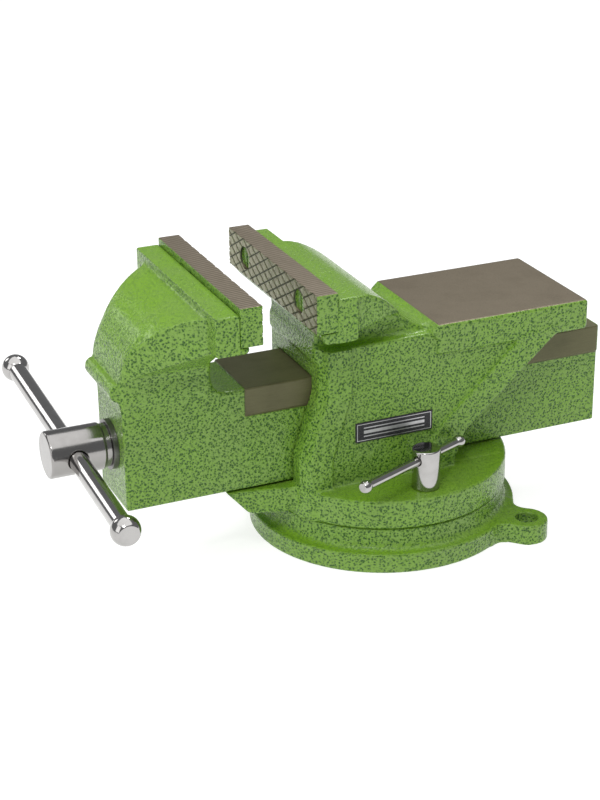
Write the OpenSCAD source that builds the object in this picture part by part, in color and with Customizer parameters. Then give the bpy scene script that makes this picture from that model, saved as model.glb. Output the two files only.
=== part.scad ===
// Swivel-base bench vise with an anvil, jaws set part open.
// Millimetres, Z up. X runs along the spindle, from the handle to the rear of the slide.
// The origin is on the swivel axis, in the plane of the bench.

/* [Jaws] */
// Width of both jaws
jaw_w = 150; // [130:1:160]
// Height of a jaw plate
plate_h = 26.2; // [24:0.2:28]
// Thickness of a jaw plate
plate_t = 15; // [12:0.5:15]
// Distance between the jaw faces as drawn
jaw_gap = 36; // [30:1:40]
// Spacing of the two screws of a jaw plate
plate_screw_pitch = 92; // [80:1:96]
// Pitch of the diamond knurl along the jaw
knurl_pitch = 15; // [10:1:16]

/* [Slide] */
// Width of the painted sides of the slide
slide_w = 53.5; // [50:0.5:54]
// Width over the machined bands of the slide
band_w = 56; // [54.5:0.5:56]
// Height of the machined bands
band_h = 20; // [14:1:26]
// Height of the slide casting
slide_h = 73; // [71:0.5:74]

/* [Spindle] */
// Outside diameter of the screw thread
spindle_d = 24; // [20:1:26]
// Thread pitch
spindle_pitch = 6; // [5:0.5:8]
// Diameter of the cross-bored head
head_d = 31.6; // [30:0.2:34]
// Diameter of the handle bar
handle_d = 13; // [11:0.5:14]
// Length of the handle bar between its knob centres
handle_l = 242; // [200:1:250]

/* [Base] */
// Radius of the base flange
flange_r = 93; // [90:1:96]
// Thickness of the flange and of the ears
flange_t = 14.5; // [13:0.5:16]
// Radius of the circle of the bench bolt holes
ear_r = 107; // [104:1:112]
// Diameter of a bench bolt hole
ear_hole_d = 15; // [12:0.5:16]
// Direction of the first ear
ear_angle = -45.7; // [-60:0.1:-30]

/* [Swivel] */
// Radius of the swivel disc
disc_r = 87; // [84:0.5:88]
// Distance of a swivel lock from the swivel axis
lock_r = 69.6; // [68:0.2:71]
// Diameter of a swivel lock nut
lock_d = 19.2; // [18:0.2:20]
// Diameter of a swivel lock bar
lock_bar_d = 6; // [5:0.25:6.5]

/* [Anvil] */
// Length of the anvil plate
anvil_l = 118.5; // [110:0.5:120]
// Width of the anvil plate and of the collar
anvil_w = 96.6; // [94:0.2:98]
// Height of the anvil face above the bench
anvil_z = 155; // [153:0.5:157]

/* [Hidden] */
$fn = 64;
eps = 0.01;
run = 0.1;               // diametral running clearance of the hinges

hub_z = 29.5;            // top of the base hub
hub_r = 85.5;
disc_z = hub_z + 0.5;    // underside of the swivel disc
disc_top = 50.5;
floor_z = 51.5;          // floor of the slide channel
spigot_d = 40;
spigot_top = 44;
slot_in = 64;            // ring slot of the base
slot_out = 75.2;
slot_grow = 4;
cavity_z = 14;
cavity_top = 24;

slide_z = 52.6;          // underside of the slide
slide_top = slide_z + slide_h;
rough_top = slide_top - 1;
axis_z = 91;
front_x = -195.5;        // front face of the moving jaw casting
rear_x = 155.7;
wall_x = front_x + 14.5; // inner face of the front wall
neck_x = -137.4;
machined_x = -112;
cavity_w = 34;
cavity_roof = 112;

fixed_face = -81;        // working face of the fixed jaw
moving_face = fixed_face - jaw_gap;
plate_z = 174.3;
screw_z = plate_z + plate_h / 2;
block_top = 196;
block_t = 15;
seat_f = fixed_face + plate_t;
seat_m = moving_face - plate_t;
ledge_z = 174;

body_w = 91.6;
body_top = 149.5;
anvil_x = 15;
anvil_t = 21;
channel_w = band_w + 0.8;
channel_top = slide_top + 0.4;
hump_x = -58;            // cylinder of the hump behind the fixed jaw
hump_z = 133;
hump_r = 59.6;
hump_top = 190;
gusset_x = -143.2;       // cylinder of the gusset of the moving jaw
gusset_z = 138;
gusset_r = 52.3;
bead_r = 6.5;

screw_d = 8;
screw_head_d = 15;
bolt_d = 10;
nut_bolt_x = 34;
nut_w = 31;
nut_l = 44;
nut_top = 106;
foot_z = 63;

head_x0 = -240.5;
head_x1 = -199.2;
handle_x = -222.8;
handle_tilt = 3.4;
handle_shift = 12;
knob_r = 9.7;
spindle_rear = 140;
collar_x = wall_x + 19;
collar_l = 9;
pin_d = 4;
pin_fit = 0.04;

lock_h = 28.5;
lock_bar_z = 72;
lock_bar_l = 94;
lock_bar_angle = 22.8;
lock_bar_shift = -13;
lock_knob_r = 4.4;
stud_top = 66;

plate_len = 57;
plate_ht = 14.3;
name_x = -12.5;
name_z = 87.2;
name_t = 0.8;

green = [0.45, 0.64, 0.30];
machined = [0.50, 0.46, 0.42];
steel = [0.62, 0.62, 0.64];
chrome = [0.82, 0.83, 0.86];
black = [0.09, 0.09, 0.11];

// A profile in X and Z, as deep as twice half, centred on the XZ plane.
module side(points, half) {
    rotate([90, 0, 0]) linear_extrude(2 * half, center = true) polygon(points);
}

// A profile in Y and Z, from x0 to x1.
module front(points, x0, x1) {
    translate([x0, 0, 0]) rotate([90, 0, 90]) linear_extrude(x1 - x0) polygon(points);
}

// A profile in X and Y, from z0 to z1.
module plan(points, z0, z1) {
    translate([0, 0, z0]) linear_extrude(z1 - z0) polygon(points);
}

// An outline in X and Y that leans from height a[1] at X = a[0] to height b[1] at X = b[0].
module leaning(ring, a, b) {
    n = len(ring);
    polyhedron(points = concat([for (p = ring) [p[0] + a[0], p[1], a[1]]],
        [for (p = ring) [p[0] + b[0], p[1], b[1]]]), faces = concat([[for (i = [n - 1:-1:0]) i]],
        [[for (i = [0:n - 1]) n + i]], [for (i = [0:n - 1]) [i, (i + 1) % n, n + (i + 1) % n,
        n + i]]));
}

// A box from one corner to the opposite one.
module block(a, b) {
    translate(a) cube(b - a);
}

// A round bar along X.
module bar_x(x0, x1, d, y = 0, z = 0) {
    translate([x0, y, z]) rotate([0, 90, 0]) cylinder(h = x1 - x0, d = d);
}

// A round bar along Y, centred on the XZ plane.
module bar_y(x, z, r, half) {
    translate([x, 0, z]) rotate([90, 0, 0]) cylinder(h = 2 * half, r = r, center = true);
}

// Both halves of a symmetric outline, from the points of its +Y half.
function mirrored(points) = concat(points,
    [for (i = [len(points) - 1:-1:0]) [points[i][0], -points[i][1]]]);

// The same for an outline whose first value is the width.
function doubled(points) = concat(points,
    [for (i = [len(points) - 1:-1:0]) [-points[i][0], points[i][1]]]);

// Points of an arc round c, from angle a0 to a1.
function arc(c, r, a0, a1, n = 8) =
    [for (i = [0:n]) c + r * [cos(a0 + (a1 - a0) * i / n), sin(a0 + (a1 - a0) * i / n)]];

// ---------------------------------------------------------------- base

// One ear with its bolt hole still solid and concave blends into the flange.
module ear() {
    tip_r = 14.5;
    blend = 12;
    far = flange_r + blend;
    near = tip_r + blend;
    a = acos((far * far + ear_r * ear_r - near * near) / (2 * far * ear_r));
    c = far * [cos(a), sin(a)];
    translate([ear_r, 0, 0]) cylinder(h = flange_t, r = tip_r);
    difference() {
        plan([[flange_r - 20, 0], c, [ear_r, 0], [c[0], -c[1]]], 0, flange_t);
        for (s = [-1, 1]) {
            translate([c[0], s * c[1], -1]) cylinder(h = flange_t + 2, r = blend);
        }
    }
}

// Round body of the base: flange, concave fillet, hub and pivot spigot.
module base_round() {
    fillet = 6.5;
    rotate_extrude($fn = 128) polygon(concat(
        [[0, 0], [flange_r - 1, 0], [flange_r, 1], [flange_r, flange_t - 1]],
        [[flange_r - 1, flange_t]],
        arc([hub_r + fillet, flange_t + fillet], fillet, 270, 180),
        [[hub_r, hub_z], [0, hub_z]]));
    translate([0, 0, hub_z - 1]) cylinder(h = spigot_top - hub_z + 1, d = spigot_d);
}

module swivel_base() {
    entry = 19;
    rim = 76;
    boss_r = 26;
    underside = 7;
    color(green) difference() {
        union() {
            base_round();
            for (k = [0:1]) {
                rotate([0, 0, ear_angle + 180 * k]) ear();
            }
        }
        for (k = [0:1]) {
            rotate([0, 0, ear_angle + 180 * k]) translate([ear_r, 0, -1])
                cylinder(h = flange_t + 2, d = ear_hole_d);
        }
        difference() {
            translate([0, 0, -1]) cylinder(h = underside + 1, r = rim);
            translate([0, 0, -2]) cylinder(h = underside + 3, r = boss_r);
        }
        difference() {
            translate([0, 0, cavity_z]) cylinder(h = cavity_top - cavity_z, r = slot_out + slot_grow);
            translate([0, 0, cavity_z - 1]) cylinder(h = cavity_top, r = slot_in - slot_grow);
        }
        difference() {
            translate([0, 0, cavity_top - eps]) cylinder(h = hub_z, r = slot_out);
            translate([0, 0, cavity_top - 1]) cylinder(h = hub_z + 2, r = slot_in);
        }
        // pocket where the heads of the lock studs are dropped in
        rotate([0, 0, 180]) block([slot_in - slot_grow, -entry / 2, cavity_z],
            [slot_out + slot_grow, entry / 2, hub_z + 1]);
    }
}

// ---------------------------------------------------------------- vise body

// Front frame of the body: upright at the top, leaning forward, upright again at the foot.
module collar() {
    low_x = -79;
    high_x = -65;
    low_z = 72;
    high_z = 117;
    band = 21;
    face = 39;
    cham = 4.5;
    ring = mirrored([[0, face], [cham, anvil_w / 2], [band, anvil_w / 2]]);
    translate([low_x, 0, 0]) plan(ring, disc_z, low_z);
    leaning(ring, [low_x, low_z], [high_x, high_z]);
    translate([high_x, 0, 0]) plan(ring, high_z, body_top);
}

// Side walls and roof of the body, before the channel is cut.
module body_block() {
    side([[-74, disc_top - 5], [13, disc_top - 5], [39.6, 74.6], [108.6, 134.6], [128, 134.6],
        [128, 140], [18, body_top], [-60, body_top], [-60, 117], [-74, 72]], body_w / 2);
    collar();
}

// Diagonal struts that carry the rear of the anvil.
module struts() {
    side([[11, disc_top], [30, disc_top], [41, 74.6], [108.6, 134.6], [80.6, 134.6],
        [23.7, 83.2], [16, 72]], anvil_w / 2);
}

module anvil() {
    r = 3;
    x1 = anvil_x + anvil_l;
    z0 = anvil_z - anvil_t;
    z1 = anvil_z;
    side(concat([[anvil_x + 3.5, z0]], arc([x1 - r, z0 + r], r, -90, 0, 4),
        arc([x1 - r, z1 - r], r, 0, 90, 4), [[anvil_x + 5, z1], [anvil_x + 1, z1 - 2.5],
        [anvil_x - 2, body_top - 0.5], [anvil_x + 3.5, body_top - 5]]), anvil_w / 2);
}

// Fixed jaw: full-width block with the ledge under its plate.
module fixed_block() {
    x1 = seat_f + block_t - 1;
    side([[fixed_face + 4, ledge_z], [fixed_face + 4, 171], [fixed_face + 7, 166.5],
        [x1, 166.5], [x1, block_top - 1], [x1 - 1, block_top], [seat_f, block_top],
        [seat_f, ledge_z]], jaw_w / 2);
}

// Tapered hump behind the fixed jaw and the neck that carries both.
module hump() {
    half = 73.5;
    neck = 37;
    shank = doubled([[neck, body_top - 4], [neck, 158], [neck + 8, block_top]]);
    intersection() {
        union() {
            bar_y(hump_x, hump_z, hump_r, half);
            side([[-14, 172], [-4, 162.5], [8, 154], [22, body_top - 0.6], [22, 140], [-14, 140]],
                half);
        }
        plan(mirrored([[seat_f + 1, half], [seat_f + 10, half - 0.5], [-50.5, 66], [-45, 61],
            [-35, 57.5], [-27, 55], [-15, 50], [-5, 46], [2, 40], [24, 33]]), body_top - 4, hump_top);
        union() {
            front(shank, seat_f - 10, 24);
            side([[seat_f - 10, 166.5], [-44.7, 166.5], [-23, 169], [24, 168.3],
                [24, block_top], [seat_f - 10, block_top]], half);
        }
    }
}

// Tray under the slide in front of the collar.
module tongue() {
    under = 33.8;
    intersection() {
        side(concat([[-126, floor_z]], arc([-107, under + 8], 8, 215, 270, 5),
            [[-70, under], [-70, floor_z]]), 40);
        plan(mirrored([[-128, 27.4], [-116, 27.4], [-76, 37]]), disc_z, floor_z + 1);
    }
}

module swivel_disc() {
    pad = 44;
    rotate_extrude($fn = 128) polygon([[0, disc_z], [disc_r - 0.5, disc_z], [disc_r, disc_z + 0.5],
        [disc_r, disc_top - 1.5], [disc_r - 1.5, disc_top], [0, disc_top]]);
    intersection() {
        translate([0, 0, disc_z]) cylinder(h = floor_z - disc_z, r = disc_r - 1);
        block([-90, -pad, disc_z], [90, pad, floor_z + 1]);
    }
}

module fixed_body() {
    color(green) difference() {
        union() {
            swivel_disc();
            body_block();
            struts();
            anvil();
            fixed_block();
            hump();
            tongue();
        }
        block([-140, -channel_w / 2, floor_z], [140, channel_w / 2, channel_top]);
        translate([0, 0, disc_z - 1]) cylinder(h = spigot_top - disc_z + 1.5, d = spigot_d + run);
        for (s = [-1, 1]) {
            translate([0, s * lock_r, disc_z - 1]) cylinder(h = 30, d = bolt_d + 0.6);
            translate([s * nut_bolt_x, 0, disc_z - 1]) cylinder(h = 30, d = bolt_d + 0.4);
            translate([s * nut_bolt_x, 0, disc_z - 1]) cylinder(h = 11, d = 22);
            bar_x(seat_f - 1, seat_f + 13, screw_d + run, s * plate_screw_pitch / 2, screw_z);
        }
    }
}

// ---------------------------------------------------------------- moving jaw

// Box section at the front of the slide, with the neck that rises to the jaw.
module jaw_box() {
    half = slide_w / 2;
    root = 14;
    side(concat([[front_x, slide_z], [machined_x + 1, slide_z], [machined_x + 1, rough_top]],
        arc([neck_x + root, rough_top + root], root, 270, 180), [[neck_x, 172],
        [-178, 172], [-188, 160], [-194.5, 146], [front_x, 140]]), half);
}

// Curved gusset that widens from the box to the jaw.
module gusset() {
    half = 58;
    top = block_top - 5.5;
    intersection() {
        union() {
            bar_y(gusset_x, gusset_z, gusset_r, half);
            block([gusset_x, -half, gusset_z], [seat_m, half, top]);
        }
        block([front_x, -half, gusset_z - 6], [seat_m, half, top]);
        union() {
            block([front_x, -half, gusset_z - 6], [neck_x, half, top]);
            block([front_x, -half, 170], [seat_m, half, top]);
        }
        plan(mirrored([[front_x - 1, 28], [-148, half], [seat_m + 1, half]]), 130, block_top);
        front(doubled([[slide_w / 2, 130], [slide_w / 2, 143], [slide_w / 2 + 3, 147],
            [half - 3, 164], [half, 168], [half, block_top]]), front_x - 1, seat_m + 1);
    }
}

module moving_block() {
    x0 = seat_m - block_t - 1;
    side([[x0, 170], [seat_m + 4, 170], [seat_m + 6, 172], [seat_m + 6, ledge_z],
        [seat_m, ledge_z], [seat_m, block_top], [x0 + 1.5, block_top], [x0, block_top - 1.5]],
        jaw_w / 2);
}

module moving_jaw() {
    color(green) difference() {
        union() {
            jaw_box();
            gusset();
            moving_block();
            bar_y(front_x - 1, 137, bead_r, 27);
            block([machined_x, -slide_w / 2, slide_z], [rear_x, slide_w / 2, slide_top]);
            block([machined_x, -band_w / 2, slide_top - band_h], [rear_x, band_w / 2, slide_top]);
        }
        block([wall_x, -cavity_w / 2, slide_z - 1], [rear_x + 1, cavity_w / 2, cavity_roof]);
        bar_x(front_x - 1, wall_x + 1, spindle_d + run, 0, axis_z);
        for (s = [-1, 1]) {
            bar_x(seat_m - 13, seat_m + 1, screw_d + run, s * plate_screw_pitch / 2, screw_z);
        }
    }
}

// ---------------------------------------------------------------- jaw plates

// One family of knurl grooves in the YZ plane, leaning by the angle a.
// Both families cross on the top edge of the plate.
module knurl(a) {
    side = 1.05;
    shift = 4.2;
    reach = ceil((jaw_w / 2 + 2 * plate_h) / knurl_pitch);
    for (i = [-reach:reach]) {
        translate([0, shift + i * knurl_pitch, plate_h]) rotate([a, 0, 0])
            rotate([0, 0, 45]) cube([side, side, 5 * plate_h], center = true);
    }
}

// A jaw plate with its working face in the plane X = 0 and its back at X = plate_t.
module jaw_plate() {
    lean = 62;
    difference() {
        block([0, -jaw_w / 2, 0], [plate_t, jaw_w / 2, plate_h]);
        knurl(lean);
        knurl(-lean);
        for (s = [-1, 1]) {
            translate([0, s * plate_screw_pitch / 2, plate_h / 2]) {
                bar_x(-1, plate_t + 1, screw_d + 0.6);
                bar_x(-1, 3, screw_head_d + 0.6);
                translate([3 - eps, 0, 0]) rotate([0, 90, 0])
                    cylinder(h = 4, d1 = screw_head_d + 0.6, d2 = screw_d + 0.6);
            }
        }
    }
}

// The two countersunk screws of a jaw plate, in the frame of the plate.
module plate_screws() {
    slot = 2;
    for (s = [-1, 1]) {
        translate([0, s * plate_screw_pitch / 2, plate_h / 2]) difference() {
            union() {
                bar_x(2, 3.2, screw_head_d);
                translate([3.2 - eps, 0, 0]) rotate([0, 90, 0])
                    cylinder(h = 3.5, d1 = screw_head_d, d2 = screw_d);
                bar_x(6, plate_t + 11, screw_d);
            }
            block([1, -slot / 2, -screw_head_d], [4, slot / 2, screw_head_d]);
        }
    }
}

module fixed_jaw_plate() {
    color(machined) translate([fixed_face, 0, plate_z]) jaw_plate();
}

module moving_jaw_plate() {
    color(machined) translate([moving_face, 0, plate_z]) mirror([1, 0, 0]) jaw_plate();
}

module fixed_jaw_screws() {
    color(green) translate([fixed_face, 0, plate_z]) plate_screws();
}

module moving_jaw_screws() {
    color(green) translate([moving_face, 0, plate_z]) mirror([1, 0, 0]) plate_screws();
}

// ---------------------------------------------------------------- spindle

// The screw: plain journal in the front wall, then grooves at the thread pitch.
module spindle() {
    journal = -150;
    depth = 2.4;
    crest = spindle_pitch * 0.37;
    r = spindle_d / 2;
    turns = floor((spindle_rear - 2 - journal) / spindle_pitch);
    thread = [for (k = [0:turns - 1]) for (p = [[r, crest / 2], [r - depth, crest / 2 + 0.8],
        [r - depth, spindle_pitch - crest / 2 - 0.8], [r, spindle_pitch - crest / 2]])
        [p[0], journal + k * spindle_pitch + p[1]]];
    color(steel) difference() {
        translate([0, 0, axis_z]) rotate([0, 90, 0]) rotate_extrude($fn = 24)
            polygon(concat([[0, head_x1 - 3], [r, head_x1 - 3]], thread,
                [[r, spindle_rear - 1.5], [r - 1.5, spindle_rear], [0, spindle_rear]]));
        translate([collar_x + collar_l / 2, 0, axis_z])
            cylinder(h = 2 * spindle_d, d = pin_d + pin_fit, center = true);
    }
}

// The chromed head: a turned cylinder with a narrower nose, cross-bored for the handle.
module spindle_head() {
    r = head_d / 2;
    color(chrome) difference() {
        translate([0, 0, axis_z]) rotate([0, 90, 0]) rotate_extrude() polygon([
            [0, head_x0], [r - 2, head_x0], [r - 0.6, head_x0 + 0.6], [r, head_x0 + 2],
            [r, head_x1 - 5], [r - 1.2, head_x1 - 3.5], [r - 1.2, head_x1],
            [spindle_d / 2 + 0.02, head_x1], [spindle_d / 2 + 0.02, head_x1 - 3.02],
            [0, head_x1 - 3.02]]);
        translate([handle_x, 0, axis_z]) rotate([handle_tilt - 90, 0, 0])
            cylinder(h = 60, d = handle_d + 0.6, center = true);
    }
}

// A bar along +Z, centred, with a swaged ball at each end that is cut flat.
module swaged_bar(d, l, r) {
    cut = 0.72 * r;
    cylinder(h = l, d = d, center = true);
    for (s = [-1, 1]) {
        translate([0, 0, s * l / 2]) intersection() {
            sphere(r = r, $fn = 48);
            cylinder(h = 2 * cut, r = r, center = true);
        }
    }
}

module handle_bar() {
    color(chrome) translate([handle_x, 0, axis_z]) rotate([handle_tilt - 90, 0, 0])
        translate([0, 0, handle_shift]) swaged_bar(handle_d, handle_l, knob_r);
}

module thrust_washer() {
    color(steel) translate([0, 0, axis_z]) difference() {
        bar_x(head_x1 + 0.1, front_x - 0.1, head_d + 2);
        bar_x(head_x1 - 1, front_x + 1, spindle_d + 0.4);
    }
}

module spindle_spring() {
    wire = 2.6;
    coils = 7;
    span = collar_x - wall_x - 0.4;
    step = (span - wire) / (coils - 1);
    color(steel) for (k = [0:coils - 1]) {
        translate([wall_x + 0.2 + wire / 2 + k * step, 0, axis_z]) rotate([0, 90, 0])
            rotate_extrude($fn = 32) translate([spindle_d / 2 + 2, 0])
                circle(d = max(wire, step + 0.2), $fn = 16);
    }
}

module retaining_collar() {
    color(steel) translate([0, 0, axis_z]) difference() {
        bar_x(collar_x, collar_x + collar_l, cavity_w - 2);
        bar_x(collar_x - 1, collar_x + collar_l + 1, spindle_d + 0.04);
        translate([collar_x + collar_l / 2, 0, 0])
            cylinder(h = 50, d = pin_d + pin_fit, center = true);
    }
}

module collar_pin() {
    half = cavity_w / 2 - 1.2;
    color(steel) translate([collar_x + collar_l / 2, 0, axis_z])
        cylinder(h = 2 * half, d = pin_d, center = true);
}

// ---------------------------------------------------------------- nut

module spindle_nut() {
    foot = nut_bolt_x + 13;
    color(steel) difference() {
        union() {
            block([-nut_l / 2, -nut_w / 2, floor_z], [nut_l / 2, nut_w / 2, nut_top]);
            block([-foot, -nut_w / 2, floor_z], [foot, nut_w / 2, foot_z]);
        }
        bar_x(-60, 60, spindle_d + run, 0, axis_z);
        for (s = [-1, 1]) {
            translate([s * nut_bolt_x, 0, floor_z - 1]) cylinder(h = 20, d = bolt_d + run);
        }
    }
}

module nut_bolts() {
    head = 6.5;
    color(steel) for (s = [-1, 1]) {
        translate([s * nut_bolt_x, 0, disc_z + 8 - head])
            cylinder(h = head, d = 19.6, $fn = 6);
        translate([s * nut_bolt_x, 0, disc_z + 8 - head + 1])
            cylinder(h = foot_z - disc_z - 4, d = bolt_d);
    }
}

module nut_washers() {
    color(steel) for (s = [-1, 1]) {
        translate([s * nut_bolt_x, 0, disc_z + 8]) difference() {
            cylinder(h = 2, d = 21);
            translate([0, 0, -1]) cylinder(h = 4, d = bolt_d + 0.5);
        }
    }
}

// ---------------------------------------------------------------- swivel locks

module swivel_studs() {
    head = 16;
    color(steel) for (s = [-1, 1]) {
        translate([0, s * lock_r, 0]) {
            block([-head / 2, -head / 2, cavity_top - 8.5], [head / 2, head / 2, cavity_top - 0.5]);
            translate([0, 0, cavity_top - 2]) cylinder(h = stud_top - cavity_top + 2, d = bolt_d);
        }
    }
}

// A lock nut on the near side, with the bore for its bar.
module lock_nut() {
    r = lock_d / 2;
    difference() {
        rotate_extrude() polygon([[0, disc_top], [r - 0.5, disc_top], [r, disc_top + 0.5],
            [r, disc_top + lock_h - 1.2], [r - 1.2, disc_top + lock_h], [0, disc_top + lock_h]]);
        translate([0, 0, disc_top - 1]) cylinder(h = stud_top - disc_top + 1.5, d = bolt_d + run);
        translate([0, 0, lock_bar_z]) rotate([0, 90, lock_bar_angle])
            cylinder(h = 40, d = lock_bar_d + 0.6, center = true);
    }
}

// A lock bar in the bore of its nut.
module lock_bar() {
    translate([0, 0, lock_bar_z]) rotate([0, 90, lock_bar_angle])
        translate([0, 0, lock_bar_shift]) swaged_bar(lock_bar_d, lock_bar_l, lock_knob_r);
}

module lock_nut_near() {
    color(chrome) translate([0, -lock_r, 0]) lock_nut();
}

module lock_nut_far() {
    color(chrome) mirror([0, 1, 0]) translate([0, -lock_r, 0]) lock_nut();
}

module lock_bar_near() {
    color(chrome) translate([0, -lock_r, 0]) lock_bar();
}

module lock_bar_far() {
    color(chrome) mirror([0, 1, 0]) translate([0, -lock_r, 0]) lock_bar();
}

module nameplate() {
    y = -body_w / 2;
    color(black) block([name_x - plate_len / 2, y - name_t, name_z - plate_ht / 2],
        [name_x + plate_len / 2, y, name_z + plate_ht / 2]);
}

swivel_base();
fixed_body();
moving_jaw();
fixed_jaw_plate();
moving_jaw_plate();
fixed_jaw_screws();
moving_jaw_screws();
spindle();
spindle_head();
handle_bar();
thrust_washer();
spindle_spring();
retaining_collar();
collar_pin();
spindle_nut();
nut_bolts();
nut_washers();
swivel_studs();
lock_nut_near();
lock_nut_far();
lock_bar_near();
lock_bar_far();
nameplate();
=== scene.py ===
"""Looks of a swivel-base bench vise: hammer-painted castings, bare machined faces and chromed bars."""

import logging
import math
from dataclasses import dataclass
from enum import Enum
from typing import Any, Callable, Sequence

import bpy
import numpy as np
from mathutils import Matrix, Vector

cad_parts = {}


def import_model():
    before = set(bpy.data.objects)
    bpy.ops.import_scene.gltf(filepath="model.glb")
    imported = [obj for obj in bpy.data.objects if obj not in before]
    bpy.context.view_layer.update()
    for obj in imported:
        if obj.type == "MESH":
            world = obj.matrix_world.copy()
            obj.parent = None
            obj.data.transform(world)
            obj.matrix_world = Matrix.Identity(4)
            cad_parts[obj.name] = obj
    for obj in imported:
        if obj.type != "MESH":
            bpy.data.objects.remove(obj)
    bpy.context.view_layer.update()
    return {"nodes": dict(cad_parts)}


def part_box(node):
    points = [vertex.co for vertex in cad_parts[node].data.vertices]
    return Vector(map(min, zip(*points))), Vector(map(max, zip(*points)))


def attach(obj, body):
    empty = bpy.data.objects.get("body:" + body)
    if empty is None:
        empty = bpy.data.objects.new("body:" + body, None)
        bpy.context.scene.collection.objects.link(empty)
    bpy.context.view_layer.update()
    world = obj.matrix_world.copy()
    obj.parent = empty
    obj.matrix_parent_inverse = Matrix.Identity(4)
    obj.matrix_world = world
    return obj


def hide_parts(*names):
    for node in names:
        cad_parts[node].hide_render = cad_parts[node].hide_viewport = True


LOG = logging.getLogger("vise")
MM = 0.001
FIXED_FACE = -81.0
MOVING_FACE = -117.0
Flat = Callable[[np.ndarray, np.ndarray], np.ndarray]
Field = Callable[[np.ndarray, np.ndarray, np.ndarray], np.ndarray]
Outline = Sequence[tuple[float, float]]


class Axis(Enum):
    """The axis that a profile is drawn out along."""

    X = 0
    Y = 1
    Z = 2


# ---------------------------------------------------------------- solids


def least(a: np.ndarray, b: np.ndarray, radius: float) -> np.ndarray:
    """The smaller of two distances, rounded where they are close.

    Args:
        a: Distance to one solid.
        b: Distance to another solid.
        radius: Radius of the fillet where the solids meet.

    Returns:
        Distance to both together.
    """
    reach = np.hypot(np.maximum(radius - a, 0), np.maximum(radius - b, 0))
    return np.maximum(radius, np.minimum(a, b)) - reach


@dataclass(frozen=True)
class Solid:
    """A closed shape, given by its distance field in millimetres, negative inside."""

    distance: Field

    def joined(self, other: "Solid", radius: float) -> "Solid":
        """Adds another solid with a fillet in the corner.

        Args:
            other: The solid that is added.
            radius: Radius of the fillet.

        Returns:
            The union.
        """
        return Solid(lambda x, y, z: least(self.distance(x, y, z), other.distance(x, y, z), radius))

    def met(self, other: "Solid", radius: float) -> "Solid":
        """Keeps what lies in both solids, with a rounded edge.

        Args:
            other: The solid that bounds this one.
            radius: Radius of the new edges.

        Returns:
            The intersection.
        """
        return Solid(lambda x, y, z: -least(-self.distance(x, y, z), -other.distance(x, y, z),
                                            radius))

    def cut(self, other: "Solid", radius: float = 0.3) -> "Solid":
        """Takes another solid away, with a rounded edge.

        Args:
            other: The solid that is taken away.
            radius: Radius of the new edges.

        Returns:
            The difference.
        """
        return self.met(Solid(lambda x, y, z: -other.distance(x, y, z)), radius)

    def turned(self, degrees: float) -> "Solid":
        """Turns the solid about Z.

        Args:
            degrees: The angle, counter-clockwise from above.

        Returns:
            The turned solid.
        """
        c, s = math.cos(math.radians(degrees)), math.sin(math.radians(degrees))
        return Solid(lambda x, y, z: self.distance(c * x + s * y, c * y - s * x, z))


def inset(outline: Outline, amount: float) -> np.ndarray:
    """Moves every side of an outline inwards.

    Args:
        outline: Corners in order, either way round.
        amount: How far each side moves.

    Returns:
        The corners of the smaller outline, counter-clockwise.
    """
    p = np.array(outline, float)
    q = np.roll(p, -1, axis=0)
    if np.sum(p[:, 0] * q[:, 1] - q[:, 0] * p[:, 1]) < 0:
        p = p[::-1]
    side = np.roll(p, -1, axis=0) - p
    side /= np.linalg.norm(side, axis=1, keepdims=True)
    inward = np.stack([-side[:, 1], side[:, 0]], axis=1)
    before = np.roll(inward, 1, axis=0)
    return p + amount * (inward + before) / (1 + np.sum(inward * before, axis=1))[:, None]


def outline_distance(corners: np.ndarray, u: np.ndarray, v: np.ndarray) -> np.ndarray:
    """Signed distance to a closed outline.

    Args:
        corners: The outline's corners.
        u: First coordinate of the points.
        v: Second coordinate of the points.

    Returns:
        The distance, negative inside.
    """
    nearest = np.full(np.broadcast(u, v).shape, 1e12)
    outside = np.ones(nearest.shape, bool)
    for (ax, ay), (bx, by) in zip(corners, np.roll(corners, -1, axis=0)):
        ex, ey = bx - ax, by - ay
        wx, wy = u - ax, v - ay
        t = np.clip((wx * ex + wy * ey) / (ex * ex + ey * ey), 0, 1)
        nearest = np.minimum(nearest, (wx - ex * t) ** 2 + (wy - ey * t) ** 2)
        low, high, left = v >= ay, v < by, ex * wy > ey * wx
        outside ^= (low & high & left) | ~(low | high | left)
    return np.sqrt(nearest) * np.where(outside, 1, -1)


def drawn(axis: Axis, profile: Flat, low: float, high: float, edge: float) -> Solid:
    """A flat profile drawn out along an axis, with rounded ends.

    Args:
        axis: The axis.
        profile: Distance to the profile, smaller all round by the edge, in the other two
            coordinates in alphabetical order.
        low: Where it starts on the axis.
        high: Where it ends on the axis.
        edge: Radius of the outer edges.

    Returns:
        The solid.
    """
    middle, half = (low + high) / 2, (high - low) / 2 - edge

    def distance(x: np.ndarray, y: np.ndarray, z: np.ndarray) -> np.ndarray:
        """Distance to the solid.

        Args:
            x: First coordinate of the points.
            y: Second coordinate.
            z: Third coordinate.

        Returns:
            The distance, negative inside.
        """
        along, u, v = {Axis.X: (x, y, z), Axis.Y: (y, x, z), Axis.Z: (z, x, y)}[axis]
        a, b = profile(u, v), np.abs(along - middle) - half
        return np.minimum(np.maximum(a, b), 0) + np.hypot(np.maximum(a, 0), np.maximum(b, 0)) - edge

    return Solid(distance)


def prism(axis: Axis, outline: Outline, low: float, high: float, edge: float = 1.5) -> Solid:
    """An outline drawn out along an axis, with rounded edges.

    Args:
        axis: X for an outline in Y and Z, Y for one in X and Z, Z for one in X and Y.
        outline: Corners of the outline.
        low: Where it starts on the axis.
        high: Where it ends on the axis.
        edge: Radius of the outer edges.

    Returns:
        The solid.
    """
    corners = inset(outline, edge)
    return drawn(axis, lambda u, v: outline_distance(corners, u, v), low, high, edge)


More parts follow.
